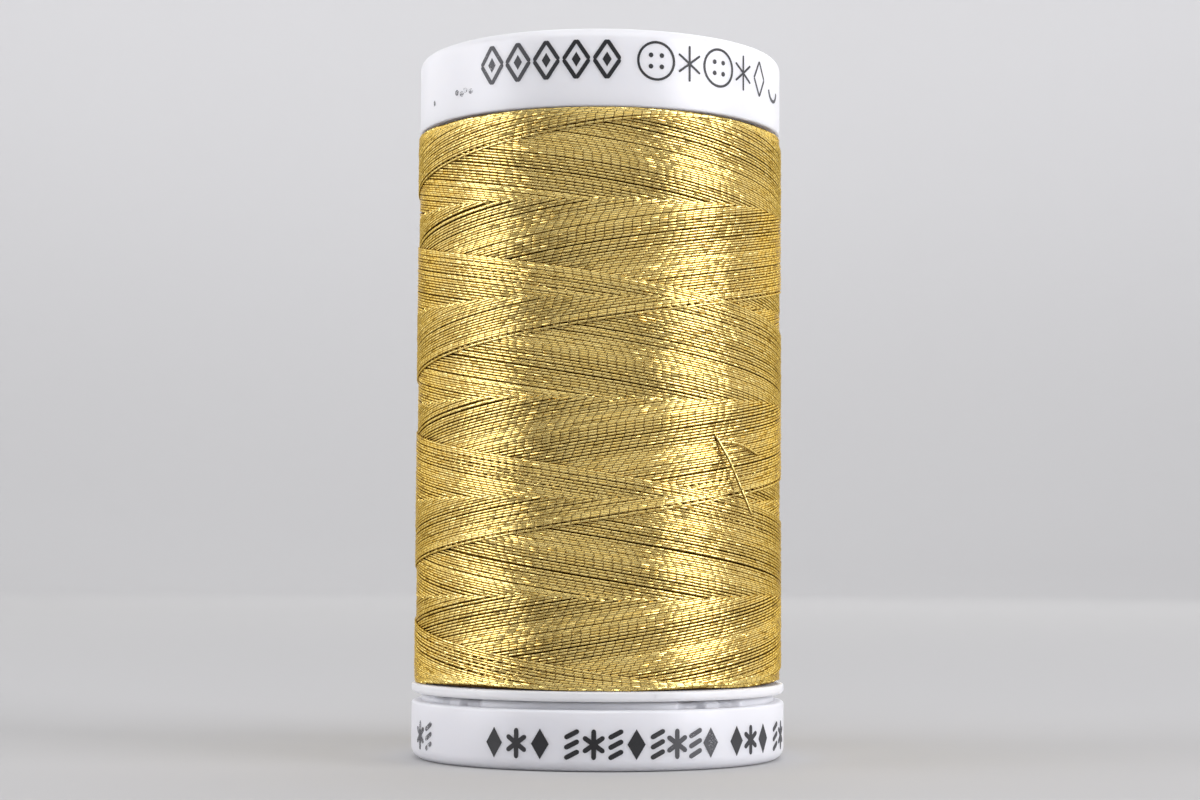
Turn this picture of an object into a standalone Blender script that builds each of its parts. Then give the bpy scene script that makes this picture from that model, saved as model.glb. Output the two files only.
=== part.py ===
"""A large snap-base spool of metallic sewing thread.

Metres, +Z up. The origin is the centre of the base's underside, and +Z runs up the spool's axis.
The spool is two mouldings: the winding tube with its tall cap and lower flange, and a base that
snaps into the tube from below. Lifting the tube off the base opens the groove that holds the
thread's end. The thread is wound on the tube between the cap and the flange.
"""

import math

import bmesh
import bpy
from mathutils import Matrix, Vector

MM = 0.001
CLEARANCE = 0.3 * MM  # left between pieces that meet
SEGMENTS = 48  # facets round every turned shape
ARC_STEPS = 2  # straight runs in each rounded edge

# Heights above the surface that the base stands on
BASE_HEIGHT = 5.3 * MM
FLANGE_UNDERSIDE = 6.0 * MM
FLANGE_TOP = 6.9 * MM
CAP_UNDERSIDE = 57.7 * MM
CAP_TOP = 64.7 * MM

# Radii
BASE_RADIUS = 17.2 * MM
FLANGE_RADIUS = 17.2 * MM
CAP_RADIUS = 16.85 * MM
THREAD_RADIUS = 17.0 * MM
TUBE_RADIUS = 10.5 * MM
TUBE_BORE = 9.2 * MM
PIN_BORE = 4.5 * MM  # for the machine's upright spool pin
PIN_HUB = 5.8 * MM

# The cap: an open rim round a sunk floor, with ribs
RIM_WALL = 1.6 * MM
CAP_FLOOR = 1.2 * MM
CROWN_HEIGHT = 2.3 * MM  # the tube's upper end, above the cap's floor
CAP_HUB_HEIGHT = 4.3 * MM
RIB_THICKNESS = 1.0 * MM
CAP_RIB_HEIGHT = 3.5 * MM
RIBS = 8

# The base: a skirt round a sunk plate, with ribs, a pin hub and a slotted sleeve
SKIRT_WALL = 1.6 * MM
BASE_PLATE = 1.2 * MM
BASE_HUB_FOOT = 1.0 * MM  # the hub and the sleeve stop this far above the surface
BASE_RIB_FOOT = 1.4 * MM
LAND_OUTER = 16.5 * MM  # the raised ring that nips the thread's end under the flange
LAND_INNER = 14.6 * MM
LAND_HEIGHT = 0.42 * MM
NOTCH_DEPTH = 0.7 * MM
NOTCH_WIDTH = 2.1 * MM
NOTCH_FLOOR = 0.05 * MM
NOTCH_CENTRES = (31.5, 45.5)  # degrees on each side of a nipping tooth, repeated every quarter turn
QUARTERS = 4

# The snap: four fingers with hooks, in a groove inside the tube
SLEEVE_OUTER = TUBE_BORE - CLEARANCE
SLEEVE_INNER = 7.7 * MM
FINGERS = 4
SLOT_FLOOR = 6.6 * MM
SLOT_WIDTH = 1.6 * MM
HOOK_UNDERSIDE = 15.8 * MM
HOOK_TIP = 0.85 * MM
HOOK_HEIGHT = 0.8 * MM
SLEEVE_TOP = 17.8 * MM
TRAVEL = 3.0 * MM  # how far the base pulls out
GROOVE_LEDGE = HOOK_UNDERSIDE - TRAVEL - CLEARANCE
GROOVE_TOP = SLEEVE_TOP + 1.0 * MM
GROOVE_DEPTH = 0.7 * MM

# The thread
SHOULDER = 0.5 * MM
TAIL_DIAMETER = 0.22 * MM
TAIL_POINTS = 12
TAIL_START_ANGLE = -51.9  # degrees from +X, where the loose end leaves the winding
TAIL_END_ANGLE = -35.4
TAIL_START_HEIGHT = 29.2 * MM
TAIL_END_HEIGHT = 22.0 * MM
TAIL_STAND_OFF = 0.5 * MM  # how far the free end springs away from the winding
TAIL_BOW = 0.9  # degrees of sideways bow in the loose end


def clear_scene():
    for found in list(bpy.data.objects):
        bpy.data.objects.remove(found, do_unlink=True)


def new_collection(name):
    collection = bpy.data.collections.new(name)
    bpy.context.scene.collection.children.link(collection)
    return collection


def plain_material(name, colour, roughness, metallic=0.0):
    material = bpy.data.materials.new(name)
    material.use_nodes = True
    shader = material.node_tree.nodes["Principled BSDF"]
    shader.inputs["Base Color"].default_value = (*colour, 1.0)
    shader.inputs["Roughness"].default_value = roughness
    shader.inputs["Metallic"].default_value = metallic
    return material


def rounded_outline(corners):
    """A closed outline of (radius, height) points, with an arc at each corner that gives a radius."""
    points = []
    for i, corner in enumerate(corners):
        here = Vector(corner[:2])
        rounding = corner[2] if len(corner) > 2 else 0.0
        if not rounding:
            points.append(here)
            continue
        before = Vector(corners[i - 1][:2]) - here
        after = Vector(corners[(i + 1) % len(corners)][:2]) - here
        half_angle = before.angle(after) / 2
        back_off = rounding / math.tan(half_angle)
        start = here + before.normalized() * back_off
        end = here + after.normalized() * back_off
        to_centre = (before.normalized() + after.normalized()).normalized()
        centre = here + to_centre * rounding / math.sin(half_angle)
        turn = (start - centre).angle_signed(end - centre)
        for step in range(ARC_STEPS + 1):
            angle = -turn * step / ARC_STEPS
            spoke = start - centre
            points.append(centre + Vector((
                spoke.x * math.cos(angle) - spoke.y * math.sin(angle),
                spoke.x * math.sin(angle) + spoke.y * math.cos(angle),
            )))
    return points


def turned(name, corners, collection):
    """A closed outline turned about Z. Its corners run down the outer side first."""
    outline = rounded_outline(corners)
    mesh = bpy.data.meshes.new(name)
    edges = [(i, (i + 1) % len(outline)) for i in range(len(outline))]
    mesh.from_pydata([(p.x, 0.0, p.y) for p in outline], edges, [])
    made = bpy.data.objects.new(name, mesh)
    collection.objects.link(made)
    screw = made.modifiers.new("turn", "SCREW")
    screw.axis = "Z"
    screw.angle = math.tau
    screw.steps = SEGMENTS
    screw.render_steps = SEGMENTS
    screw.use_merge_vertices = True
    screw.merge_threshold = 1e-6
    screw.use_smooth_shade = True
    return made


def blocks_round_axis(name, inner, outer, width, low, high, angles, collection):
    """Boxes at those angles round Z, each reaching from one radius to another, as one helper."""
    mesh = bpy.data.meshes.new(name)
    shape = bmesh.new()
    for angle in angles:
        made = bmesh.ops.create_cube(shape, size=1.0)["verts"]
        bmesh.ops.scale(shape, vec=(outer - inner, width, high - low), verts=made)
        bmesh.ops.translate(shape, vec=((inner + outer) / 2, 0.0, (low + high) / 2), verts=made)
        bmesh.ops.rotate(shape, matrix=Matrix.Rotation(angle, 3, "Z"), verts=made)
    shape.to_mesh(mesh)
    shape.free()
    made = bpy.data.objects.new(name, mesh)
    collection.objects.link(made)
    return made


def every(count, start=0.0):
    """That many equal steps round a full turn, in radians, from a start in degrees."""
    return [math.radians(start) + math.tau * i / count for i in range(count)]


def hide_helper(helper):
    helper.hide_render = True
    helper.display_type = "WIRE"


def combine(target, helper, operation):
    hide_helper(helper)
    boolean = target.modifiers.new(helper.name, "BOOLEAN")
    boolean.operation = operation
    boolean.solver = "EXACT"
    boolean.object = helper


def spool_body(parts, cutters):
    floor_top = CAP_UNDERSIDE + CAP_FLOOR
    groove_radius = TUBE_BORE + GROOVE_DEPTH
    rim_inner = CAP_RADIUS - RIM_WALL
    body = turned("spool_body", [
        (CAP_RADIUS, CAP_TOP, 0.9 * MM),
        (CAP_RADIUS, CAP_UNDERSIDE, 0.15 * MM),
        (TUBE_RADIUS, CAP_UNDERSIDE),
        (TUBE_RADIUS, FLANGE_TOP),
        (FLANGE_RADIUS, FLANGE_TOP, 0.2 * MM),
        (FLANGE_RADIUS, FLANGE_UNDERSIDE, 0.45 * MM),
        (LAND_INNER - CLEARANCE, FLANGE_UNDERSIDE),
        (LAND_INNER - 1.0 * MM, BASE_HEIGHT + CLEARANCE),
        (TUBE_BORE, BASE_HEIGHT + CLEARANCE),
        (TUBE_BORE, GROOVE_LEDGE),
        (groove_radius, GROOVE_LEDGE),
        (groove_radius, GROOVE_TOP),
        (TUBE_BORE, GROOVE_TOP + GROOVE_DEPTH),
        (TUBE_BORE, CAP_UNDERSIDE),
        (PIN_BORE, CAP_UNDERSIDE, 0.2 * MM),
        (PIN_BORE, floor_top + CAP_HUB_HEIGHT, 0.3 * MM),
        (PIN_HUB, floor_top + CAP_HUB_HEIGHT, 0.3 * MM),
        (PIN_HUB, floor_top),
        (TUBE_BORE, floor_top),
        (TUBE_BORE, floor_top + CROWN_HEIGHT),
        (TUBE_RADIUS, floor_top + CROWN_HEIGHT),
        (TUBE_RADIUS, floor_top),
        (rim_inner, floor_top),
        (rim_inner, CAP_TOP, 0.3 * MM),
    ], parts)
    ribs = blocks_round_axis(
        "cap_ribs",
        (PIN_BORE + PIN_HUB) / 2,
        rim_inner + RIM_WALL / 2,
        RIB_THICKNESS,
        CAP_UNDERSIDE + CAP_FLOOR / 2,
        floor_top + CAP_RIB_HEIGHT,
        every(RIBS),
        cutters,
    )
    combine(body, ribs, "UNION")
    return body


def snap_base(parts, cutters):
    skirt_inner = BASE_RADIUS - SKIRT_WALL
    plate_under = BASE_HEIGHT - BASE_PLATE
    land_top = BASE_HEIGHT + LAND_HEIGHT
    base = turned("snap_base", [
        (BASE_RADIUS, BASE_HEIGHT, 0.25 * MM),
        (BASE_RADIUS, 0.0, 1.1 * MM),
        (skirt_inner, 0.0, 0.15 * MM),
        (skirt_inner, plate_under),
        (SLEEVE_OUTER, plate_under),
        (SLEEVE_OUTER, BASE_HUB_FOOT),
        (SLEEVE_INNER, BASE_HUB_FOOT),
        (SLEEVE_INNER, SLEEVE_TOP),
        (SLEEVE_OUTER - 0.5 * MM, SLEEVE_TOP),
        (SLEEVE_OUTER + HOOK_TIP, HOOK_UNDERSIDE + HOOK_HEIGHT),
        (SLEEVE_OUTER + HOOK_TIP, HOOK_UNDERSIDE),
        (SLEEVE_OUTER, HOOK_UNDERSIDE),
        (SLEEVE_OUTER, BASE_HEIGHT),
        (LAND_INNER, BASE_HEIGHT),
        (LAND_INNER, land_top),
        (LAND_OUTER, land_top, 0.1 * MM),
        (LAND_OUTER, BASE_HEIGHT),
    ], parts)
    add_base_hub_and_ribs(base, skirt_inner, plate_under, cutters)
    cut_finger_slots(base, cutters)
    cut_land_notches(base, cutters)
    return base


def add_base_hub_and_ribs(base, skirt_inner, plate_under, cutters):
    hub = turned("base_hub", [
        (PIN_HUB, BASE_HEIGHT, 0.3 * MM),
        (PIN_HUB, BASE_HUB_FOOT, 0.2 * MM),
        (PIN_BORE, BASE_HUB_FOOT, 0.2 * MM),
        (PIN_BORE, BASE_HEIGHT, 0.3 * MM),
    ], cutters)
    combine(base, hub, "UNION")
    ribs = blocks_round_axis(
        "base_ribs",
        (PIN_BORE + PIN_HUB) / 2,
        skirt_inner + SKIRT_WALL / 2,
        RIB_THICKNESS,
        BASE_RIB_FOOT,
        plate_under + BASE_PLATE / 2,
        every(RIBS),
        cutters,
    )
    combine(base, ribs, "UNION")


def cut_finger_slots(base, cutters):
    """Slots between the ribs part the sleeve's upper end into springy fingers."""
    slots = blocks_round_axis(
        "finger_slots",
        SLEEVE_INNER - 1 * MM,
        SLEEVE_OUTER + 2 * HOOK_TIP,
        SLOT_WIDTH,
        SLOT_FLOOR,
        SLEEVE_TOP + 1 * MM,
        every(FINGERS, 360 / RIBS / 2),
        cutters,
    )
    combine(base, slots, "DIFFERENCE")


def cut_land_notches(base, cutters):
    """Notches in the land's outer side leave a long lug and a short tooth in each quarter."""
    for side, centre in enumerate(NOTCH_CENTRES):
        notches = blocks_round_axis(
            f"land_notches_{side + 1}",
            LAND_OUTER - NOTCH_DEPTH,
            LAND_OUTER + 1 * MM,
            NOTCH_WIDTH,
            BASE_HEIGHT + NOTCH_FLOOR,
            BASE_HEIGHT + LAND_HEIGHT + 1 * MM,
            every(QUARTERS, centre),
            cutters,
        )
        combine(base, notches, "DIFFERENCE")


def thread_package(parts):
    """The whole winding as one plain turned solid round the tube."""
    low = FLANGE_TOP + CLEARANCE
    high = CAP_UNDERSIDE - CLEARANCE
    inner = TUBE_RADIUS + CLEARANCE
    return turned("thread_package", [
        (THREAD_RADIUS, high, SHOULDER),
        (THREAD_RADIUS, low, SHOULDER),
        (inner, low),
        (inner, high),
    ], parts)


def thread_tail(parts):
    """The loose end, which leaves the winding and hangs down beside it."""
    curve = bpy.data.curves.new("thread_tail", "CURVE")
    curve.dimensions = "3D"
    curve.bevel_depth = TAIL_DIAMETER / 2
    curve.bevel_resolution = 2
    curve.use_fill_caps = True
    line = curve.splines.new("POLY")
    line.points.add(TAIL_POINTS - 1)
    for i, point in enumerate(line.points):
        t = i / (TAIL_POINTS - 1)
        bow = TAIL_BOW * math.sin(math.pi * t)
        angle = math.radians(TAIL_START_ANGLE + (TAIL_END_ANGLE - TAIL_START_ANGLE) * t + bow)
        radius = THREAD_RADIUS + CLEARANCE + TAIL_DIAMETER / 2 + TAIL_STAND_OFF * t * t
        height = TAIL_START_HEIGHT + (TAIL_END_HEIGHT - TAIL_START_HEIGHT) * t
        point.co = (radius * math.cos(angle), radius * math.sin(angle), height, 1.0)
    made = bpy.data.objects.new("thread_tail", curve)
    parts.objects.link(made)
    return made


def main():
    clear_scene()
    parts = new_collection("thread_spool")
    cutters = new_collection("cutters")
    body = spool_body(parts, cutters)
    base = snap_base(parts, cutters)
    package = thread_package(parts)
    tail = thread_tail(parts)
    body.data.materials.append(plain_material("white_spool_plastic", (0.86, 0.86, 0.88), 0.28))
    base.data.materials.append(plain_material("white_base_plastic", (0.84, 0.84, 0.87), 0.3))
    package.data.materials.append(plain_material("gold_thread", (0.66, 0.48, 0.16), 0.35, 1.0))
    tail.data.materials.append(plain_material("gold_thread_end", (0.74, 0.56, 0.2), 0.3, 1.0))
    # The tube, its thread and the loose end lift off the base together along Z.
    lift = bpy.data.objects.new("spool_lift", None)
    parts.objects.link(lift)
    for moving in (body, package, tail):
        moving.parent = lift


main()
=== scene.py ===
import math

import bmesh
import bpy
import numpy as np
from mathutils import Matrix, Vector


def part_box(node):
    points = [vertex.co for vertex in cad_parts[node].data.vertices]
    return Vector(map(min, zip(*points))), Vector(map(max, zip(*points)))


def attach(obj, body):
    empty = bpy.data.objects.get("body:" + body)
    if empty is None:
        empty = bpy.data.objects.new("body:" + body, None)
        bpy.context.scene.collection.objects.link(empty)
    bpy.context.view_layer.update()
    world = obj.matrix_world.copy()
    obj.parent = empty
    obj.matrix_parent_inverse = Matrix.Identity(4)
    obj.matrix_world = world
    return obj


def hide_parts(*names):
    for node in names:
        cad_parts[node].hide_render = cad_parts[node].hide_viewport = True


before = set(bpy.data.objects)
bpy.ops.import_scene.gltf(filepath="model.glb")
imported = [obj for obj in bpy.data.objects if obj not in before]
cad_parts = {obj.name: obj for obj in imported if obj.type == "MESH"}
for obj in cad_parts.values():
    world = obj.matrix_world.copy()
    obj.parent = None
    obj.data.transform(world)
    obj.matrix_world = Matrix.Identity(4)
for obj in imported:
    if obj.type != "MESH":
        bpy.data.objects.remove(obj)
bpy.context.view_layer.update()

# ---------------------------------------------------------------------------------------------
# Sizes in millimetres, taken from the frame. The spool's axis is Z, and its printed side is -Y.
# ---------------------------------------------------------------------------------------------
MM = 0.001
GAP = 0.3  # the frame keeps this between pieces that meet


def box_in_mm(node):
    low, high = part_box(node)
    return low / MM, high / MM


base_low, base_high = box_in_mm("snap_base")
body_low, body_high = box_in_mm("spool_body")
package_low, package_high = box_in_mm("thread_package")

FLOOR = base_low.z
CAP_TOP = body_high.z
CAP_UNDERSIDE = package_high.z + GAP
FLANGE_TOP = package_low.z - GAP
FLANGE_UNDERSIDE = FLANGE_TOP - 0.9
BASE_TOP = body_low.z - GAP
SLEEVE_TOP = base_high.z
BASE_RADIUS = base_high.x
FLANGE_RADIUS = body_high.x
CAP_RADIUS = FLANGE_RADIUS - 0.35
THREAD_RADIUS = package_high.x

TUBE_RADIUS = 10.5
TUBE_BORE = 9.2
PIN_BORE = 4.5
PIN_HUB = 5.8
WALL = 1.6
CAP_FLOOR = CAP_UNDERSIDE + 1.2
RIBS = 8
RIB_THICKNESS = 1.0
RIB_DRAFT = 0.15  # how much thinner a rib is at its free edge
ROUND_STEPS = 192  # facets round a moulding
ARC_STEPS = 6  # straight runs in each rounded edge
SLEEVE_OUTER = TUBE_BORE - GAP
SLEEVE_INNER = 7.7
FINGERS = 4
HOOK_UNDERSIDE = SLEEVE_TOP - 2.0
LAND_OUTER = 16.5
LAND_INNER = 14.6
LAND_TOP = FLANGE_UNDERSIDE - 0.07
INK_POINT = 0.02  # the narrowest that a stroke of ink gets

# The winding
THREAD = 0.22
ROUND = math.tau * THREAD_RADIUS
TURNS = 6  # whole turns in one trip of the thread guide, up and down again
DRIFT = 1.41  # how far round each trip starts after the one before
TRIP = TURNS * ROUND + DRIFT
LAYER = ROUND / DRIFT  # trips in one full layer
TRIPS = 77  # the last ones wound, which make the surface
REVERSAL = 13.0  # the guide slows over this length of thread at each end
LOWEST_TURN = FLANGE_TOP + THREAD / 2 + 0.02
HIGHEST_TURN = CAP_UNDERSIDE - THREAD / 2 - 0.02
LAST_TURN_AT = 13.1  # where round the package the winding stopped, from the front
PACKAGE_MEAN = THREAD_RADIUS - 0.15  # mean radius to the middle of the outermost thread
BEDDING = 0.6  # thread under tension beds this far into the layer below, as a share of its height
LAY_STEP = 0.5
WRAPS = 783.9  # wraps of foil in one trip
CORE_DEPTH = 0.16  # from the middle of the outermost thread in to the core
WINDING_SEED = 11
RUN_SCATTER = 0.01  # spread of each run's height off its true place
LOOSE_SCATTER = 0.018  # the same, added for the newest runs
SLIP_SHARE = 0.04  # share of runs that slipped sideways
SLIP = 0.08
WANDER = 0.011  # slow waver along a run
WANDER_EVERY = 14.0
LOFT = 0.012  # spread in how high each trip rides
TWIST_SPREAD = 0.12  # wraps of foil gained or lost in a trip
STEADY_AFTER = 15  # length of thread from a turn over which the offsets fade in
NEWEST = 10  # trips near the end whose thread lies loosely, so that the layer below shows


# ---------------------------------------------------------------------------------------------
# Materials
# ---------------------------------------------------------------------------------------------
class Wire:
    """A value between shader nodes, which Python's arithmetic works on."""

    def __init__(self, finish, socket):
        self.finish = finish
        self.socket = socket

    def maths(self, operation, *values):
        return self.finish.node("ShaderNodeMath", {"operation": operation}, dict(enumerate(values)))

    def __add__(self, other):
        return self.maths("ADD", self, other)

    __radd__ = __add__

    def __sub__(self, other):
        return self.maths("SUBTRACT", self, other)

    def __rsub__(self, other):
        return self.maths("SUBTRACT", other, self)

    def __mul__(self, other):
        return self.maths("MULTIPLY", self, other)

    __rmul__ = __mul__

    def __abs__(self):
        return self.maths("ABSOLUTE", self)

    def fraction(self):
        return self.maths("FRACT", self)

    def cosine(self):
        return self.maths("COSINE", self)

    def rise(self, low, high):
        """0 below low, 1 above high, and a smooth rise between them."""
        settings = {"interpolation_type": "SMOOTHSTEP"}
        return self.finish.node("ShaderNodeMapRange", settings, {0: self, 1: low, 2: high})


class Finish:
    """A material while it is made. Every node comes from node()."""

    def __init__(self, name):
        self.material = bpy.data.materials.new(name)
        self.material.use_nodes = True
        self.tree = self.material.node_tree
        self.tree.nodes.clear()

    def node(self, kind, settings=None, inputs=None, output=0):
        made = self.tree.nodes.new(kind)
        for setting, value in (settings or {}).items():
            setattr(made, setting, value)
        for socket, value in (inputs or {}).items():
            if isinstance(value, Wire):
                self.tree.links.new(value.socket, made.inputs[socket])
            else:
                made.inputs[socket].default_value = value
        return Wire(self, made.outputs[output]) if len(made.outputs) else made

    def part(self, vector, axis):
        return self.node("ShaderNodeSeparateXYZ", None, {0: vector}, axis)

    def place(self):
        """Where a point is on the piece, in metres."""
        return self.node("ShaderNodeTexCoord", None, None, "Object")

    def noise(self, scale, detail=2.0):
        inputs = {"Vector": self.place(), "Scale": scale, "Detail": detail}
        return self.node("ShaderNodeTexNoise", None, inputs, 0)

    def attribute(self, name):
        return self.node("ShaderNodeAttribute", {"attribute_name": name}, None, "Fac")

    def chance(self, where, channel=0):
        """A random number for each whole value of where."""
        made = self.node("ShaderNodeTexWhiteNoise", {"noise_dimensions": "1D"}, {"W": where}, "Color")
        return self.part(made, channel)

    def blend(self, factor, first, second):
        inputs = {0: factor, 6: first, 7: second}
        return self.node("ShaderNodeMix", {"data_type": "RGBA"}, inputs, 2)

    def bump(self, height, depth, strength=1.0):
        inputs = {"Height": height, "Distance": depth, "Strength": strength}
        return self.node("ShaderNodeBump", None, inputs, "Normal")

    def surface(self, values):
        shader = self.node("ShaderNodeBsdfPrincipled", None, values)
        self.node("ShaderNodeOutputMaterial", None, {0: shader})
        return self.material


def colour(red, green, blue):
    return (red, green, blue, 1.0)


def moulded_plastic(name, pale, shade):
    """White moulded plastic: a soft gloss, faint flow marks and a very fine skin."""
    f = Finish(name)
    flow = f.noise(90.0, 3.0)
    skin = f.noise(2600.0, 2.0)
    scuffs = f.noise(420.0, 6.0).rise(0.6, 0.74)
    height = 0.6 * skin + 0.8 * flow
    return f.surface({
        "Base Color": f.blend(flow.rise(0.3, 0.7), shade, pale),
        "Roughness": 0.3 + 0.08 * flow + 0.14 * scuffs,
        "IOR": 1.5,
        "Subsurface Weight": 0.6,
        "Subsurface Radius": (1.0, 0.95, 0.9),
        "Subsurface Scale": 0.002,
        "Normal": f.bump(height, 0.00001, 0.6),
    })


def printed_ink(name):
    """Black ink, worn thin and grey where its strokes say so."""
    f = Finish(name)
    wear = f.attribute("ink_wear")
    grain = f.noise(9000.0, 3.0)
    patches = f.noise(900.0, 3.0)
    cover = (0.5 * grain + 0.5 * patches - 0.45 * wear).rise(0.06, 0.2)
    return f.surface({
        "Base Color": f.blend(wear, colour(0.012, 0.012, 0.014), colour(0.1, 0.1, 0.11)),
        "Roughness": 0.42 + 0.2 * grain,
        "Alpha": cover,
        "Normal": f.bump(grain, 0.00001, 0.5),
    })


def foil_thread(name, crest_highlight_gold, deep, seam_and_shade_colour, seam_lean=0.4, lean=0.08):
    """Thread wrapped in a metallic strip, with a painted highlight on each thread's crest and painted
    shade down its flanks. Along U, one unit is one wrap. V goes once round.
    """
    f = Finish(name)
    uv = f.node("ShaderNodeUVMap", {"uv_map": "thread_run"})
    run = f.part(uv, 0)
    round_thread = f.part(uv, 1)
    helix = run + seam_lean * round_thread
    across = helix.fraction()
    wrap = helix - across
    to_seam = 0.5 - abs(across - 0.5)
    seam = 1.0 - to_seam.rise(0.0, 0.09)
    outward = 0.5 - 0.5 * (math.tau * round_thread).cosine()
    # Painted shade: each thread darkens toward its flanks, where it meets the threads beside it.
    painted_flank_shade = 1.0 - outward.rise(0.56, 1.0)
    first = f.chance(wrap, 0)
    second = f.chance(wrap, 1)
    third = f.chance(wrap, 2)
    # Painted highlight: the crest takes the pale gold and the flanks the deeper gold, a little
    # different from wrap to wrap.
    metal = f.blend((1.0 - painted_flank_shade) * (0.65 + 0.35 * first), deep, crest_highlight_gold)
    # More painted shade: the flanks keep darkening into the dark brown that the foil seams also use.
    shaded = f.blend(0.92 * painted_flank_shade, metal, seam_and_shade_colour)
    swing = 2.0 * second - 1.0  # cubed, so that most wraps lie flat and a few glint
    tilt_along = 0.5 + 0.5 * (lean * (2.0 * across - 1.0) + 0.2 * swing * swing * swing)
    tilt_round = 0.5 + 0.14 * (third - 0.5)
    leaning = f.node("ShaderNodeCombineXYZ", None, {0: tilt_along, 1: tilt_round, 2: 1.0})
    normal = f.node("ShaderNodeNormalMap", {"uv_map": "thread_run"}, {"Color": leaning})
    return f.surface({
        "Base Color": f.blend(seam, shaded, seam_and_shade_colour),
        "Metallic": 1.0,
        "Specular Tint": colour(1.0, 0.8, 0.38),
        "Roughness": 0.17 + 0.1 * first + 0.3 * seam,
        "Normal": normal,
    })


def shaded_thread(name, deep, dark):
    """The older thread that only shows in the gaps, coloured dark gold as painted shade."""
    f = Finish(name)
    height = f.part(f.place(), 2)
    ridges = (math.tau / (THREAD * MM)) * height
    crest = 0.5 + 0.5 * ridges.cosine()
    strands = f.noise(700.0, 4.0)
    return f.surface({
        # Painted highlight on each ridge's crest, over dark gold painted shade.
        "Base Color": f.blend(crest * strands, dark, deep),
        "Metallic": 1.0,
        "Roughness": 0.4 + 0.2 * strands,
        "Normal": f.bump(crest, 0.00008),
    })


def pale_paper(name):
    """The sweep that the spool stands on. Its colour holds painted light, lighter up the wall and far
    back, and painted shade, dark on the viewer's side where the room is.
    """
    f = Finish(name)
    place = f.place()
    height = f.part(place, 2)
    depth = f.part(place, 1)
    grain = f.noise(160.0, 5.0)
    mottling = f.noise(4.0, 2.0)
    # Painted light: the paper gets lighter up the wall and far back.
    painted_far_light = 0.35 * depth.rise(0.5, 1.2) + 0.65 * height.rise(0.0, 0.45)
    backdrop = f.blend(painted_far_light, colour(0.53, 0.526, 0.525), colour(0.82, 0.816, 0.826))
    # Painted shade: the paper turns dark on the viewer's side, standing in for the dark room behind the
    # viewer.
    painted_light_and_shade = f.blend(depth.rise(-0.8, -0.2), colour(0.14, 0.14, 0.14), backdrop)
    return f.surface({
        "Base Color": f.blend(0.1 * mottling, painted_light_and_shade, colour(0.62, 0.6, 0.59)),
        "Roughness": 0.85 + 0.1 * grain,
        "Specular IOR Level": 0.0,
        "Normal": f.bump(grain, 0.0002, 0.3),
    })


# ---------------------------------------------------------------------------------------------
# Shapes
# ---------------------------------------------------------------------------------------------
def finish_piece(piece, material, body):
    piece.data.materials.append(material)
    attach(piece, body)
    return piece


def smooth_object(name, points, faces, sharp_angle=38.0):
    """An object from points in millimetres, shaded smooth except across its sharp edges."""
    mesh = bpy.data.meshes.new(name)
    mesh.from_pydata([tuple(MM * c for c in p) for p in points], [], faces)
    mesh.shade_smooth()
    mesh.set_sharp_from_angle(angle=math.radians(sharp_angle))
    made = bpy.data.objects.new(name, mesh)
    bpy.context.scene.collection.objects.link(made)
    return made


def rounded_outline(corners):
    """A closed outline of (radius, height) points, with an arc at each corner that gives a radius."""
    points = []
    for i, corner in enumerate(corners):
        here = Vector(corner[:2])
        rounding = corner[2] if len(corner) > 2 else 0.0
        if not rounding:
            points.append(here)
            continue
        before = (Vector(corners[i - 1][:2]) - here).normalized()
        after = (Vector(corners[(i + 1) % len(corners)][:2]) - here).normalized()
        half_angle = before.angle(after) / 2
        start = here + before * rounding / math.tan(half_angle)
        end = here + after * rounding / math.tan(half_angle)
        centre = here + (before + after).normalized() * rounding / math.sin(half_angle)
        turn = (start - centre).angle_signed(end - centre)
        for step in range(ARC_STEPS + 1):
            angle = -turn * step / ARC_STEPS
            points.append(centre + Matrix.Rotation(angle, 2) @ (start - centre))
    return points


def turned(name, corners, first=0.0, last=360.0, steps=ROUND_STEPS):
    """A closed outline swept round Z between two angles in degrees. It starts down its outer side."""
    outline = rounded_outline(corners)
    whole = last - first >= 360.0
    count = len(outline)
    rings = steps if whole else steps + 1
    points = []
    for ring in range(rings):
        angle = math.radians(first + (last - first) * ring / steps)
        points += [(p.x * math.cos(angle), p.x * math.sin(angle), p.y) for p in outline]
    faces = []
    for ring in range(steps):
        here = ring * count
        there = (ring + 1) % rings * count
        for i in range(count):
            j = (i + 1) % count
            faces.append((here + j, there + j, there + i, here + i))
    if not whole:
        faces.append(tuple(range(count)))
        faces.append(tuple(steps * count + i for i in reversed(range(count))))
    return smooth_object(name, points, faces)


def joined(name, pieces):
    """Several objects made one, each still a closed body."""
    shape = bmesh.new()
    for piece in pieces:
        shape.from_mesh(piece.data)
        bpy.data.objects.remove(piece)
    mesh = bpy.data.meshes.new(name)
    shape.to_mesh(mesh)
    shape.free()
    made = bpy.data.objects.new(name, mesh)
    bpy.context.scene.collection.objects.link(made)
    return made


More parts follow.
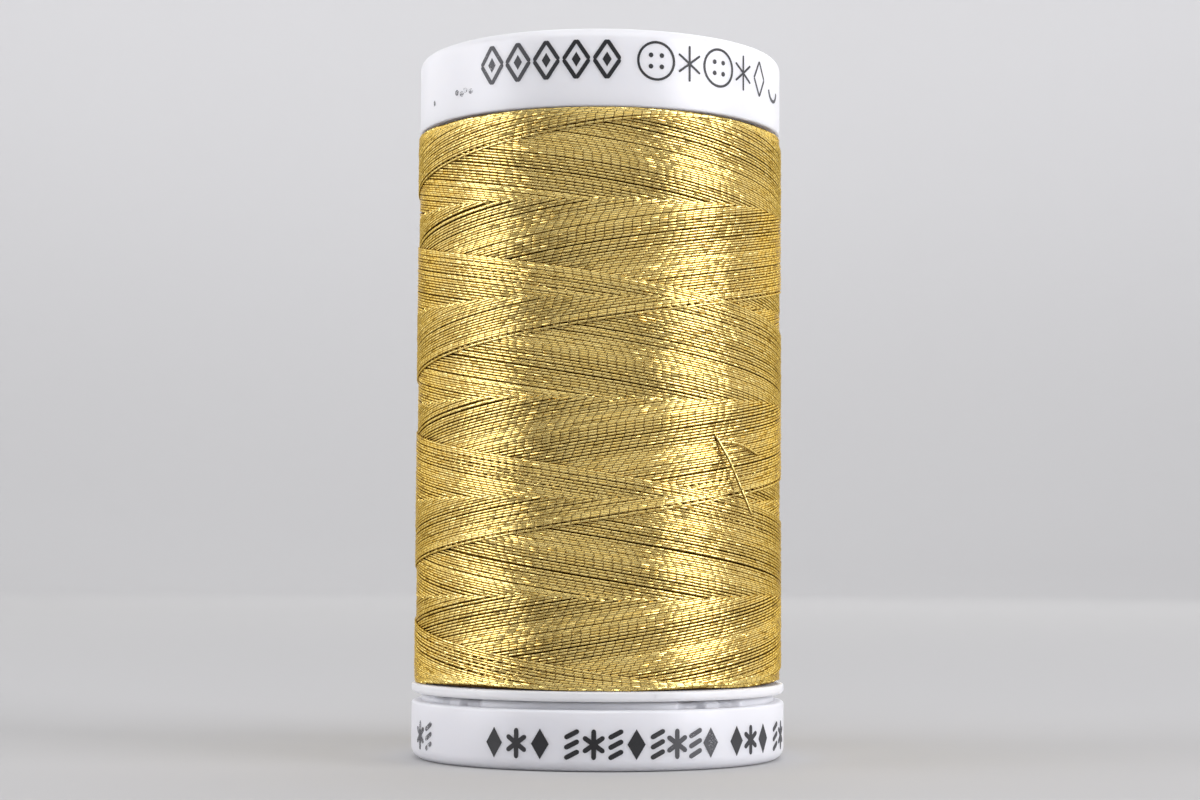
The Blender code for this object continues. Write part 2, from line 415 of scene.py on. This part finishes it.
def ribs_round_axis(name, inner, outer, low, high):
    """Evenly spaced ribs, each a little thinner at its free edge, with that edge rounded."""
    shape = bmesh.new()
    for i in range(RIBS):
        made = bmesh.ops.create_cube(shape, size=1.0)["verts"]
        for vert in made:
            taper = RIB_DRAFT if (vert.co.z > 0) == (high > low) else 0.0
            vert.co.x = inner + (vert.co.x + 0.5) * (outer - inner)
            vert.co.y *= RIB_THICKNESS - taper
            vert.co.z = (low + high) / 2 + vert.co.z * abs(high - low)
        free = [
            edge for edge in {e for v in made for e in v.link_edges}
            if all(abs(v.co.z - high) < 0.001 for v in edge.verts)
            and abs(edge.verts[0].co.x - edge.verts[1].co.x) > 1.0
        ]
        bmesh.ops.bevel(shape, geom=free, offset=0.25, segments=3, affect="EDGES", profile=0.5)
        verts = {v for v in shape.verts if not v.tag}
        turn = Matrix.Rotation(math.tau * i / RIBS, 3, "Z")
        bmesh.ops.rotate(shape, verts=list(verts), matrix=turn)
        for vert in verts:
            vert.tag = True
    bmesh.ops.recalc_face_normals(shape, faces=shape.faces)
    bmesh.ops.scale(shape, vec=(MM, MM, MM), verts=shape.verts)
    mesh = bpy.data.meshes.new(name)
    shape.to_mesh(mesh)
    shape.free()
    mesh.shade_smooth()
    mesh.set_sharp_from_angle(angle=math.radians(38))
    made = bpy.data.objects.new(name, mesh)
    bpy.context.scene.collection.objects.link(made)
    return made


def thread_tubes(name, centre, outward, run, linked, sides=6, wide=0.121, tall=0.105):
    """Closed tubes along runs of points in millimetres. linked says where a point joins the next."""
    count = len(centre)
    tangent = np.gradient(centre, axis=0)
    broken = np.flatnonzero(~linked)
    for edge in broken:
        tangent[edge] = centre[edge] - centre[max(edge - 1, 0)]
        if edge + 1 < count:
            tangent[edge + 1] = centre[min(edge + 2, count - 1)] - centre[edge + 1]
    tangent /= np.linalg.norm(tangent, axis=1)[:, None]
    outward = outward - (outward * tangent).sum(1)[:, None] * tangent
    outward /= np.linalg.norm(outward, axis=1)[:, None]
    side = np.cross(tangent, outward)
    angle = math.pi + math.tau * np.arange(sides) / sides
    rings = (
        centre[:, None, :]
        + tall * np.cos(angle)[None, :, None] * outward[:, None, :]
        + wide * np.sin(angle)[None, :, None] * side[:, None, :]
    )
    here = np.arange(sides)
    there = (here + 1) % sides
    first = np.flatnonzero(linked)[:, None] * sides
    quads = np.stack([first + here, first + there, first + sides + there, first + sides + here], axis=2)
    starts = np.concatenate([[0], broken[broken + 1 < count] + 1])
    ends = broken if len(broken) and broken[-1] == count - 1 else np.append(broken, count - 1)
    start_caps = starts[:, None] * sides + here[::-1]
    end_caps = ends[:, None] * sides + here
    corners = np.concatenate([quads.reshape(-1), start_caps.reshape(-1), end_caps.reshape(-1)])
    quad_total = quads.shape[0] * sides
    cap_total = len(starts) + len(ends)
    totals = np.concatenate([np.full(quad_total, 4), np.full(cap_total, sides)])
    mesh = bpy.data.meshes.new(name)
    mesh.vertices.add(count * sides)
    mesh.vertices.foreach_set("co", (MM * rings).astype(np.float32).ravel())
    mesh.loops.add(len(corners))
    mesh.loops.foreach_set("vertex_index", corners.astype(np.int32))
    mesh.polygons.add(len(totals))
    mesh.polygons.foreach_set("loop_start", (np.cumsum(totals) - totals).astype(np.int32))
    mesh.update(calc_edges=True)
    u = run[corners // sides]
    v = (corners % sides) / sides
    wraps = np.tile([False, True, True, False], quad_total) & (v[: 4 * quad_total] == 0)
    v[: 4 * quad_total][wraps] = 1.0
    layer = mesh.uv_layers.new(name="thread_run")
    layer.uv.foreach_set("vector", np.stack([u, v], axis=1).astype(np.float32).ravel())
    mesh.shade_smooth()
    made = bpy.data.objects.new(name, mesh)
    bpy.context.scene.collection.objects.link(made)
    return made


def wall_point(radius, round_wall, height):
    """A point on an upright wall. round_wall is measured from the front, to the viewer's right."""
    angle = round_wall / radius
    return (radius * math.sin(angle), -radius * math.cos(angle), height)


def ink_ribbon(stroke, radius, raised=0.025, sunk=0.02):
    """Points and faces of one closed stroke of ink. The stroke is (round, height, width) points."""
    stroke = np.array(stroke, float)
    tangent = np.gradient(stroke[:, :2], axis=0)
    tangent /= np.linalg.norm(tangent, axis=1)[:, None]
    across = np.stack([-tangent[:, 1], tangent[:, 0]], axis=1) * stroke[:, 2:] / 2
    points = []
    for middle, half in zip(stroke[:, :2], across):
        for level in (radius - sunk, radius + raised):
            for edge in (middle - half, middle + half):
                points.append(wall_point(level, edge[0] * level / radius, edge[1]))
    faces = []
    for i in range(len(stroke) - 1):
        a = 4 * i
        b = a + 4
        faces += [
            (a, b, b + 1, a + 1),
            (a + 2, a + 3, b + 3, b + 2),
            (a, a + 2, b + 2, b),
            (a + 1, b + 1, b + 3, a + 3),
        ]
    last = 4 * (len(stroke) - 1)
    faces += [(0, 1, 3, 2), (last, last + 2, last + 3, last + 1)]
    return points, faces


def line_stroke(start, end, width, steps=12):
    """A straight stroke with round ends."""
    t = 0.5 - 0.5 * np.cos(math.pi * np.linspace(0.0, 1.0, steps))
    from_end = np.minimum(t, 1 - t) * math.dist(start, end)
    reach = np.clip(from_end / (width / 2), 0.0, 1.0)
    widths = width * np.sqrt(np.clip(1 - (1 - reach) ** 2, 0.02, 1.0))
    return list(zip(start[0] + (end[0] - start[0]) * t, start[1] + (end[1] - start[1]) * t, widths))


def ring_stroke(centre, radius_x, radius_y, width, first=0.0, last=360.0, steps=40):
    x, y = centre
    angles = np.radians(np.linspace(first, last, steps))
    return [(x + radius_x * math.cos(a), y + radius_y * math.sin(a), width) for a in angles]


def filled_lozenge(centre, width, height, steps=13):
    t = np.linspace(-1.0, 1.0, steps)
    return [(centre[0], centre[1] + y * height / 2, max(width * (1 - abs(y)), INK_POINT)) for y in t]


def filled_dot(centre, diameter, steps=13):
    x, y = centre
    angles = np.linspace(-math.pi / 2, math.pi / 2, steps)
    widths = [max(diameter * math.cos(a), INK_POINT) for a in angles]
    return [(x, y + math.sin(a) * diameter / 2, width) for a, width in zip(angles, widths)]


def open_lozenge(centre, width, height, line):
    """The four sides of an upright lozenge, as four strokes."""
    x, y = centre
    corners = [(x, y + height / 2), (x + width / 2, y), (x, y - height / 2), (x - width / 2, y)]
    return [line_stroke(corners[i], corners[(i + 1) % 4], line) for i in range(4)]


def ink_marks(name, marks, radius, body):
    """Strokes of ink as one piece. Each mark is (wear, stroke)."""
    points, faces, wears = [], [], []
    for wear, stroke in marks:
        more_points, more_faces = ink_ribbon(stroke, radius)
        faces += [tuple(i + len(points) for i in face) for face in more_faces]
        points += more_points
        wears += [wear] * len(more_points)
    made = smooth_object(name, points, faces, 60.0)
    made.data.attributes.new("ink_wear", "FLOAT", "POINT").data.foreach_set("value", wears)
    return finish_piece(made, INK, body)


# ---------------------------------------------------------------------------------------------
# The winding
# ---------------------------------------------------------------------------------------------
def guide_rise(travel):
    """How far up the package the guide is, 0 to 1, after that length of thread from its lowest turn."""
    half = TRIP / 2
    span = half - REVERSAL
    slow_start = travel**2 / (2 * REVERSAL) / span
    steady = (travel - REVERSAL / 2) / span
    slow_end = 1 - (half - travel) ** 2 / (2 * REVERSAL) / span
    rising = np.where(travel > half - REVERSAL, slow_end, steady)
    return np.where(travel < REVERSAL, slow_start, rising)


def since_crossed(ahead):
    """Trips since thread wound the other way passed a place, when its newest run is that far ahead."""
    return np.mod(ahead + DRIFT / 2, ROUND) / DRIFT


def widened(shown, steps):
    """Marks the neighbours on both sides of each marked point too."""
    wide = shown.copy()
    for step in range(1, steps + 1):
        wide[step:] |= shown[:-step]
        wide[:-step] |= shown[step:]
    return wide


def stretched_over(levels):
    """What taut thread does over steps: it goes from crest to crest, with a little give."""
    reach = 2
    padded = np.pad(levels, reach, mode="edge")
    crests = np.max([padded[i : i + len(levels)] for i in range(2 * reach + 1)], axis=0)
    weights = np.array([1, 2, 3, 2, 1]) / 9
    return np.convolve(np.pad(crests, 2, mode="edge"), weights, mode="valid")


def package_radius(height):
    """Mean radius to the middle of the outermost thread, drawn in a little at the two ends."""
    from_end = np.minimum(height - LOWEST_TURN, HIGHEST_TURN - height)
    return PACKAGE_MEAN - 0.08 * np.exp(-np.clip(from_end, 0, None) / 0.4)


def guide_heights(along, trip, rng):
    """How high the thread lies. The guide's turning places wander, and each run is a little off."""
    up = np.minimum(along, TRIP - along)
    ends = np.arange(TRIPS + 1)
    low = LOWEST_TURN + 0.3 * (0.5 - 0.5 * np.cos(ends * math.tau / 17)) + 0.06 * rng.random(TRIPS + 1)
    high = HIGHEST_TURN - 0.3 * (0.5 - 0.5 * np.cos((ends - TRIPS) * math.tau / 25 + 2.4))
    high -= 0.06 * rng.random(TRIPS + 1)
    bottom = np.where(along < TRIP / 2, low[trip], low[trip + 1])
    height = bottom + (high[trip] - bottom) * guide_rise(up)
    run = 2 * trip + (along > TRIP / 2)
    offset = rng.normal(0.0, RUN_SCATTER, 2 * TRIPS)
    slipped = rng.random(2 * TRIPS) < SLIP_SHARE
    offset += SLIP * slipped * rng.choice([-1, 1], 2 * TRIPS)
    newest = np.arange(2 * TRIPS) > 2 * (TRIPS - NEWEST)
    offset += newest * rng.normal(0.0, LOOSE_SCATTER, 2 * TRIPS)
    knots = np.arange(0.0, TRIPS * TRIP + 40.0, WANDER_EVERY)
    wander = np.interp(along + trip * TRIP, knots, rng.normal(0.0, WANDER, len(knots)))
    from_turn = np.clip(np.minimum(up, TRIP / 2 - up) / STEADY_AFTER, 0, 1)
    return height + (offset[run] + wander) * from_turn


def wind_package(material):
    rng = np.random.default_rng(WINDING_SEED)
    per_trip = 2 * round(TRIP / 2 / LAY_STEP)
    travel = np.arange(TRIPS * per_trip) * (TRIP / per_trip)
    trip = np.arange(TRIPS * per_trip) // per_trip
    along = travel - trip * TRIP
    up = np.minimum(along, TRIP - along)
    rising = along < TRIP / 2

    # Each way of winding makes its own layers, so thread lies on the newest run of the other way.
    other_newest = trip * TRIP + np.where(rising, -up, up)
    other_laid = other_newest / TRIP - np.clip(since_crossed(other_newest - travel) - 0.5, 0, None)
    level = stretched_over(THREAD * (travel / TRIP + other_laid) / LAYER)
    last_other = np.where(rising, TRIPS * TRIP - up, (TRIPS - 1) * TRIP + up)
    other_now = last_other / TRIP - np.floor(since_crossed(last_other - travel))
    uncovered = (other_now < travel / TRIP) & (trip > TRIPS - 1 - LAYER)
    just_covered = (other_now > TRIPS - NEWEST) & (trip > TRIPS - 1 - LAYER)
    shown = widened(uncovered, 3) | just_covered

    height = guide_heights(along, trip, rng)
    loft = rng.normal(0.0, LOFT, TRIPS)[trip]
    mean_level = THREAD * (2 * TRIPS / LAYER - 1)
    radius = package_radius(height) + BEDDING * (level - mean_level) + loft
    angle = (LAST_TURN_AT + travel - TRIPS * TRIP) / THREAD_RADIUS
    outward = np.stack([np.sin(angle), -np.cos(angle), np.zeros_like(angle)], axis=1)
    centre = outward * radius[:, None]
    centre[:, 2] = height
    gained = rng.normal(0, TWIST_SPREAD, TRIPS + 1).cumsum()
    twist = np.interp(travel / TRIP, np.arange(TRIPS + 1), gained)
    wraps = (travel / TRIP - TRIPS / 2) * WRAPS + twist

    every_other = np.s_[::2]
    centre, outward, wraps, shown, rising, trip = (
        values[every_other] for values in (centre, outward, wraps, shown, rising, trip)
    )
    newer = trip >= TRIPS - TRIPS // 2
    pieces = {
        "thread_wound_upward_outer": rising & newer,
        "thread_wound_upward_inner": rising & ~newer,
        "thread_wound_downward_outer": ~rising & newer,
        "thread_wound_downward_inner": ~rising & ~newer,
    }
    for name, chosen in pieces.items():
        chosen = chosen & shown
        overlap = np.append(False, (chosen[:-1] & shown[1:]))  # one more point, so that pieces meet
        kept = np.flatnonzero(chosen | overlap)
        linked = np.append(np.diff(kept) == 1, False)
        alone = ~linked & ~np.append(False, linked[:-1])
        kept = kept[~alone]
        linked = np.append(np.diff(kept) == 1, False)
        made = thread_tubes(name, centre[kept], outward[kept], wraps[kept], linked)
        finish_piece(made, material, "spool")


def package_core(material):
    """The older windings under the ones that show."""
    radius = PACKAGE_MEAN - CORE_DEPTH
    core = turned("thread_wound_first", [
        (radius, CAP_UNDERSIDE - 0.08, 0.6),
        (radius, FLANGE_TOP + 0.08, 0.6),
        (TUBE_RADIUS + 0.02, FLANGE_TOP + 0.08),
        (TUBE_RADIUS + 0.02, CAP_UNDERSIDE - 0.08),
    ])
    # The core's colour is painted shade: it stands for the older windings lying in the shadow of the
    # outer ones.
    finish_piece(core, material, "spool")
    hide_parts("thread_package")


def strand_at(name, degrees, radius, height, material, wide):
    """One visible length of thread along points given by angle from +X, radius and height."""
    angle = np.radians(degrees)
    outward = np.stack([np.cos(angle), np.sin(angle), np.zeros_like(angle)], axis=1)
    centre = outward * radius[:, None]
    centre[:, 2] = height
    lengths = np.linalg.norm(np.diff(centre, axis=0), axis=1)
    run = np.append(0.0, lengths.cumsum()) * WRAPS / TRIP
    linked = np.append(np.full(len(run) - 1, True), False)
    strand = thread_tubes(name, centre, outward, run, linked, sides=12, wide=wide, tall=wide)
    return finish_piece(strand, material, "spool")


def loose_end(material):
    """The thread's end springs out of the winding and hangs beside it."""
    t = np.linspace(0.0, 1.0, 46)
    degrees = -53.0 + 13.1 * t + 0.3 * np.sin(math.pi * t)
    radius = THREAD_RADIUS - 0.05 + 0.4 * np.clip(t / 0.3, 0, 1) ** 0.7 + 0.35 * t**2
    height = 29.2 - 6.95 * t
    tail = strand_at("thread_loose_end", degrees, radius, height, material, 0.125)
    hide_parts("thread_tail")
    t = np.linspace(0.0, 1.0, 34)
    radius = THREAD_RADIUS - 0.08 + 0.32 * np.sin(math.pi * t) ** 0.8
    height = 28.55 + 0.15 * np.sin(math.pi * t / 0.6) - 0.75 * t**1.5
    strand_at("thread_lifted_strand", -52.0 + 19.5 * t, radius, height, material, 0.115)


# ---------------------------------------------------------------------------------------------
# The mouldings
# ---------------------------------------------------------------------------------------------
def cap_and_tube(plastic):
    inner = CAP_RADIUS - WALL
    groove = TUBE_BORE + 0.7
    ledge = HOOK_UNDERSIDE - 3.3
    body = turned("spool_moulding", [
        (CAP_RADIUS, CAP_TOP, 0.9),
        (CAP_RADIUS, CAP_UNDERSIDE, 0.18),
        (TUBE_RADIUS, CAP_UNDERSIDE, 0.3),
        (TUBE_RADIUS, FLANGE_TOP, 0.3),
        (FLANGE_RADIUS, FLANGE_TOP, 0.22),
        (FLANGE_RADIUS, FLANGE_UNDERSIDE, 0.35),
        (LAND_INNER - GAP, FLANGE_UNDERSIDE),
        (LAND_INNER - 1.0, BASE_TOP + GAP),
        (TUBE_BORE, BASE_TOP + GAP, 0.2),
        (TUBE_BORE, ledge, 0.1),
        (groove, ledge),
        (groove, SLEEVE_TOP + 1.0),
        (TUBE_BORE, SLEEVE_TOP + 1.7),
        (TUBE_BORE, CAP_UNDERSIDE, 0.5),
        (PIN_BORE, CAP_UNDERSIDE, 0.2),
        (PIN_BORE, CAP_FLOOR + 4.3, 0.35),
        (PIN_HUB, CAP_FLOOR + 4.3, 0.35),
        (PIN_HUB, CAP_FLOOR, 0.3),
        (TUBE_BORE, CAP_FLOOR, 0.3),
        (TUBE_BORE, CAP_FLOOR + 2.3, 0.25),
        (TUBE_RADIUS, CAP_FLOOR + 2.3, 0.25),
        (TUBE_RADIUS, CAP_FLOOR, 0.3),
        (inner, CAP_FLOOR, 0.5),
        (inner, CAP_TOP, 0.3),
    ])
    finish_piece(body, plastic, "spool")
    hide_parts("spool_body")
    ribs = ribs_round_axis(
        "cap_ribs", (PIN_BORE + PIN_HUB) / 2, inner + WALL / 2, CAP_FLOOR - 0.5, CAP_FLOOR + 3.5
    )
    finish_piece(ribs, plastic, "spool")
    parting = turned("flange_parting_line", [
        (FLANGE_RADIUS + 0.03, FLANGE_TOP - 0.24),
        (FLANGE_RADIUS + 0.03, FLANGE_UNDERSIDE + 0.34),
        (FLANGE_RADIUS - 0.1, FLANGE_UNDERSIDE + 0.34),
        (FLANGE_RADIUS - 0.1, FLANGE_TOP - 0.24),
    ], -73.3, -72.9, 2)
    finish_piece(parting, plastic, "spool")


def land_swell(degrees):
    """How far the nipping land swells out, 0 to 1: long lugs, with a tooth in each gap."""
    from_gap = np.abs(np.mod(degrees + 51.5 + 45, 90) - 45)
    lug = np.clip((from_gap - 9.0) / 5.0, 0, 1)
    tooth = np.clip((5.5 - from_gap) / 3.6, 0, 1)
    return np.maximum(lug * lug * (3 - 2 * lug), 0.85 * tooth * tooth * (3 - 2 * tooth))


def base_moulding(plastic):
    inner = BASE_RADIUS - WALL
    under = BASE_TOP - 1.2
    base = turned("base_moulding", [
        (BASE_RADIUS, BASE_TOP, 0.28),
        (BASE_RADIUS, FLOOR, 1.15),
        (inner, FLOOR, 0.14),
        (inner, under, 0.4),
        (SLEEVE_OUTER, under, 0.3),
        (SLEEVE_OUTER, FLOOR + 1.0, 0.2),
        (SLEEVE_INNER, FLOOR + 1.0, 0.2),
        (SLEEVE_INNER, BASE_TOP + 1.3),
        (SLEEVE_OUTER, BASE_TOP + 1.3),
        (SLEEVE_OUTER, BASE_TOP),
    ])
    finish_piece(base, plastic, "base")
    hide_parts("snap_base")
    hub = turned("base_pin_hub", [
        (PIN_HUB, BASE_TOP, 0.35),
        (PIN_HUB, FLOOR + 1.0, 0.3),
        (PIN_BORE, FLOOR + 1.0, 0.3),
        (PIN_BORE, BASE_TOP, 0.35),
    ])
    finish_piece(hub, plastic, "base")
    ribs = ribs_round_axis(
        "base_ribs", (PIN_BORE + PIN_HUB) / 2, inner + WALL / 2, under + 0.6, FLOOR + 1.4
    )
    finish_piece(ribs, plastic, "base")
    snap_fingers(plastic)
    nipping_land(plastic)


def snap_fingers(plastic):
    """Four springy fingers, each with a hook, standing on the sleeve."""
    half_gap = math.degrees(0.8 / SLEEVE_OUTER)
    quarter = 360 / FINGERS
    fingers = []
    for i in range(FINGERS):
        first = quarter * i - quarter / 2 + half_gap
        fingers.append(turned(f"finger_{i + 1}", [
            (SLEEVE_OUTER, HOOK_UNDERSIDE),
            (SLEEVE_OUTER, BASE_TOP + 1.2),
            (SLEEVE_INNER, BASE_TOP + 1.2),
            (SLEEVE_INNER, SLEEVE_TOP, 0.2),
            (SLEEVE_OUTER - 0.5, SLEEVE_TOP, 0.2),
            (SLEEVE_OUTER + 0.85, HOOK_UNDERSIDE + 0.8, 0.2),
            (SLEEVE_OUTER + 0.85, HOOK_UNDERSIDE),
        ], first, first + quarter - 2 * half_gap, 36))
    snap = joined("snap_fingers", fingers)
    finish_piece(snap, plastic, "base")


def nipping_land(plastic):
    """The raised ring that nips the thread's end under the flange."""
    steps = 720
    foot = BASE_TOP - 0.1
    points = []
    for step in range(steps):
        angle = math.tau * step / steps
        swell = float(land_swell(math.degrees(angle)))
        reach = LAND_OUTER - 0.8 + 0.6 * swell
        top = LAND_TOP - 0.12 * (1 - swell)
        outline = [
            (LAND_INNER, foot), (LAND_INNER, top), (reach - 0.42, top), (reach - 0.2, top - 0.05),
            (reach - 0.06, top - 0.17), (reach, top - 0.36), (reach, foot),
        ]
        points += [(r * math.cos(angle), r * math.sin(angle), z) for r, z in outline]
    count = len(outline)
    faces = []
    for step in range(steps):
        here = step * count
        there = (step + 1) % steps * count
        for i in range(count):
            j = (i + 1) % count
            faces.append((here + i, there + i, there + j, here + j))
    land = smooth_object("base_nipping_land", points, faces, 50.0)
    finish_piece(land, plastic, "base")


# ---------------------------------------------------------------------------------------------
# Printing
# ---------------------------------------------------------------------------------------------
def star(centre, width, height, line):
    """Three strokes that cross, as the strokes of ink in a six-pointed star."""
    strokes = []
    for degrees in (30, 90, 150):
        dx = width / 2 * math.cos(math.radians(degrees))
        dy = height / 2 * math.sin(math.radians(degrees))
        ends = (centre[0] - dx, centre[1] - dy), (centre[0] + dx, centre[1] + dy)
        strokes.append(line_stroke(*ends, line))
    return strokes


def button(centre, diameter, line):
    """A round button with four holes."""
    x, y = centre
    strokes = [ring_stroke(centre, diameter / 2, diameter / 2, line)]
    return strokes + [filled_dot((x + dx, y + dy), 0.42) for dx in (-0.5, 0.5) for dy in (-0.5, 0.5)]


def stitches(centre, width, height, line):
    """Three slanted stitches, one above another."""
    x, y = centre
    rise = height / 8
    return [
        line_stroke((x - width / 2, y + dy - rise), (x + width / 2, y + dy + rise), line)
        for dy in (-height / 3, 0.0, height / 3)
    ]


def cap_print():
    middle = CAP_TOP - 2.85
    tall = 3.4
    marks = []
    for i, wear in enumerate((0.55, 0.35, 0.1, 0.0, 0.0)):
        place = (-10.2 + 2.7 * i, middle)
        marks += [(wear, side) for side in open_lozenge(place, 2.3, tall, 0.36)]
        marks.append((wear, filled_lozenge(place, 0.8, 1.3)))
    for x in (5.0, 11.4):
        marks += [(0.0, stroke) for stroke in button((x, middle), 3.3, 0.22)]
    for x, wear in ((8.2, 0.0), (14.6, 0.15)):
        marks += [(wear, stroke) for stroke in star((x, middle), 2.5, 3.2, 0.2)]
    marks += [(0.3, side) for side in open_lozenge((17.3, middle - 0.1), 1.9, 3.2, 0.2)]
    marks.append((0.5, ring_stroke((20.6, middle - 0.5), 1.2, 1.1, 0.3, 190, 350)))
    marks.append((0.75, line_stroke((-18.7, middle - 2.0), (-18.6, middle - 2.5), 0.3)))
    for dx, dy in ((-14.6, -1.9), (-13.9, -2.1), (-13.4, -1.8), (-12.7, -2.0)):
        marks.append((0.8, filled_dot((dx, middle + dy), 0.5)))
    ink_marks("cap_print", marks, CAP_RADIUS, "spool")


def base_print():
    middle = FLOOR + 2.4
    tall = 2.6
    pattern = [
        (-20.4, "star", 0.7), (-18.4, "stitches", 0.75),
        (-9.4, "lozenge", 0.0), (-7.2, "star", 0.0), (-5.0, "lozenge", 0.0),
        (-2.2, "stitches", 0.0), (-0.3, "star", 0.0), (1.6, "stitches", 0.0), (3.4, "lozenge", 0.0),
        (5.3, "stitches", 0.05), (7.1, "star", 0.45), (8.9, "stitches", 0.6), (10.5, "lozenge", 0.55),
        (13.6, "lozenge", 0.1), (15.6, "star", 0.15), (17.7, "lozenge", 0.2),
        (20.6, "stitches", 0.35), (22.6, "star", 0.4),
    ]
    marks = []
    for x, motif, wear in pattern:
        place = (x, middle)
        if motif == "star":
            strokes = star(place, 2.1, tall, 0.42)
        elif motif == "stitches":
            strokes = stitches(place, 1.25, tall, 0.42)
        else:
            strokes = [filled_lozenge(place, 1.6, tall)]
        marks += [(wear, stroke) for stroke in strokes]
    ink_marks("base_print", marks, BASE_RADIUS, "base")


# ---------------------------------------------------------------------------------------------
# The stage
# ---------------------------------------------------------------------------------------------
def paper_sweep():
    """A round sweep of pale paper: flat under the spool, then curving up to a wall."""
    wall, bend, top = 1500.0, 500.0, 1500.0
    outline = [(0.0, 0.0)]
    outline += [(wall - bend, 0.0)]
    outline += [
        (wall - bend + bend * math.sin(a), bend - bend * math.cos(a))
        for a in np.linspace(0, math.pi / 2, 16)[1:]
    ]
    outline.append((wall, top))
    steps = 96
    points = [(0.0, 0.0, FLOOR)]
    for step in range(steps):
        angle = math.tau * step / steps
        points += [(r * math.cos(angle), r * math.sin(angle), FLOOR + z) for r, z in outline[1:]]
    count = len(outline) - 1
    faces = []
    for step in range(steps):
        here = 1 + step * count
        there = 1 + (step + 1) % steps * count
        faces.append((0, here, there))
        faces += [(here + i, here + i + 1, there + i + 1, there + i) for i in range(count - 1)]
    sweep = smooth_object("paper_sweep", points, faces, 60.0)
    sweep.data.materials.append(pale_paper("pale_paper"))


def softbox(name, azimuth, elevation, distance, width, height, power, tint=(1.0, 1.0, 1.0)):
    """A soft light facing the spool. Azimuth is in degrees from the front, to the viewer's right."""
    light = bpy.data.lights.new(name, "AREA")
    light.shape = "RECTANGLE"
    light.size = width * MM
    light.size_y = height * MM
    light.energy = power
    light.color = tint
    made = bpy.data.objects.new(name, light)
    a, e = math.radians(azimuth), math.radians(elevation)
    aim = Vector((0.0, 0.0, CAP_TOP / 2)) * MM
    away = Vector((math.sin(a) * math.cos(e), -math.cos(a) * math.cos(e), math.sin(e)))
    made.location = aim + away * distance * MM
    made.rotation_euler = away.to_track_quat("Z", "Y").to_euler()
    made.visible_camera = False
    bpy.context.scene.collection.objects.link(made)
    return made


def studio_light():
    """Each softbox: angle round, angle up, distance, width, height, watts, and a tint if it has one."""
    softbox("left_softbox", -73, 8, 620, 380, 520, 2.85, (0.985, 0.985, 1.04))
    softbox("right_softbox", 63, 8, 620, 380, 520, 4.3, (0.985, 0.985, 1.04))
    softbox("top_softbox", 0, 56, 900, 900, 500, 2.2)
    softbox("front_softbox", 2, 30, 900, 320, 160, 0.1)
    softbox("left_rim_softbox", -118, 12, 900, 700, 700, 1.1)
    softbox("right_rim_softbox", 118, 12, 900, 700, 700, 1.1)
    softbox("back_softbox", 165, 35, 900, 600, 500, 1.0)
    backdrop = softbox("backdrop_softbox", 0, 0, 500, 1200, 500, 5.7)
    backdrop.location = Vector((0.0, 500.0, 1100.0)) * MM
    backdrop.rotation_euler = (math.radians(60), 0.0, 0.0)
    world = bpy.data.worlds.new("studio")
    world.use_nodes = True
    background = world.node_tree.nodes["Background"]
    background.inputs["Color"].default_value = (0.96, 0.97, 1.0, 1.0)
    background.inputs["Strength"].default_value = 0.6
    bpy.context.scene.world = world


def camera():
    data = bpy.data.cameras.new("camera")
    data.sensor_width = 36.0
    data.lens = 72.66
    data.clip_start = 0.01
    data.clip_end = 10.0
    made = bpy.data.objects.new("camera", data)
    made.location = Vector((0.17, -226.0, FLOOR + 18.4)) * MM
    looking_up, roll = math.radians(3.72), math.radians(-0.25)
    made.rotation_euler = (math.pi / 2 + looking_up, roll, 0.0)
    bpy.context.scene.collection.objects.link(made)
    bpy.context.scene.camera = made


camera()
INK = printed_ink("black_print")
spool_white = moulded_plastic(
    "white_spool_plastic", colour(0.8, 0.797, 0.815), colour(0.785, 0.782, 0.8)
)
base_white = moulded_plastic(
    "white_base_plastic", colour(0.76, 0.757, 0.785), colour(0.745, 0.742, 0.772)
)
# The gold thread's colours: a pale gold for the painted crest highlight, a deeper gold for the painted
# shade on its flanks, and a dark brown for the foil seams and the painted shade between threads.
gold = foil_thread(
    "gold_foil_thread", colour(1.0, 0.8, 0.31), colour(0.78, 0.5, 0.07), colour(0.12, 0.05, 0.003)
)
cap_and_tube(spool_white)
base_moulding(base_white)
# Painted shade: the older windings under the visible thread are coloured dark gold.
package_core(shaded_thread("shaded_gold_thread", colour(0.34, 0.18, 0.02), colour(0.12, 0.055, 0.004)))
wind_package(gold)
loose_end(gold)
cap_print()
base_print()
paper_sweep()
studio_light()
bpy.context.scene.view_settings.view_transform = "Standard"
